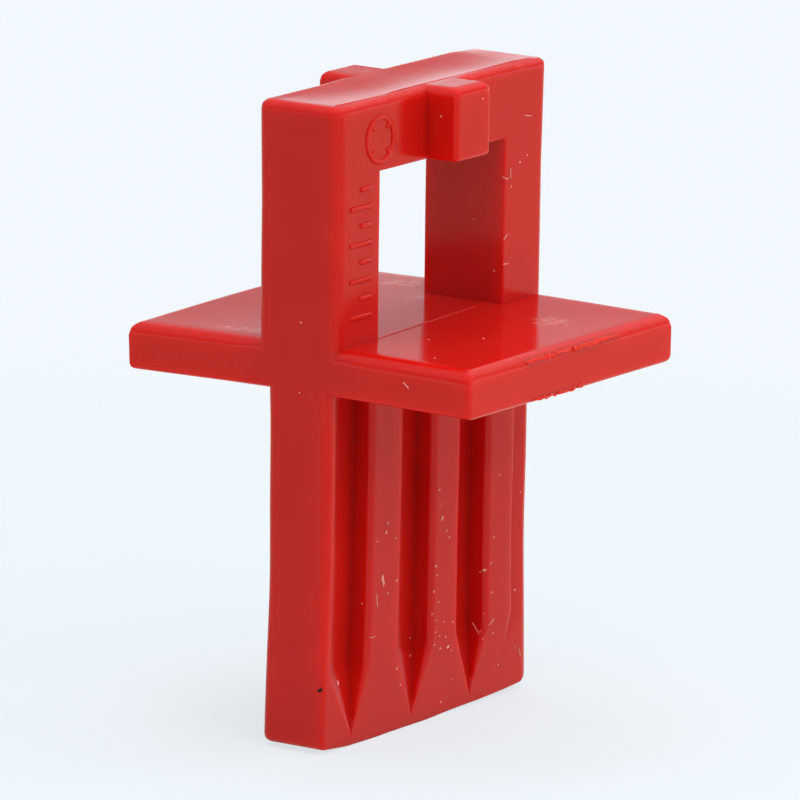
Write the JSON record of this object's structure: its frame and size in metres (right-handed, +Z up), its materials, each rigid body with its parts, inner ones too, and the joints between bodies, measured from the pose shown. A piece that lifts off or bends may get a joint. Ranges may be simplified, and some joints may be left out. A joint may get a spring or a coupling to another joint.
{
  "type": "decking spacer",
  "caption": "Cross-shaped moulded spacer: grooved gap blade below a square flange, with a window handle and grip tabs above.",
  "frame": {"origin": "centre of the blade's lower end, on the plane that it stands on", "axes": "+Z up from the blade's end through the flange to the handle; Y along the blade's width; X across the gap, from board to board"},
  "size_m": [0.0556, 0.049, 0.0873],
  "materials": {
    "spacer": "gloss moulded"
  },
  "bodies": {
    "root": {"spacer": "spacer"}
  },
  "joints": []
}
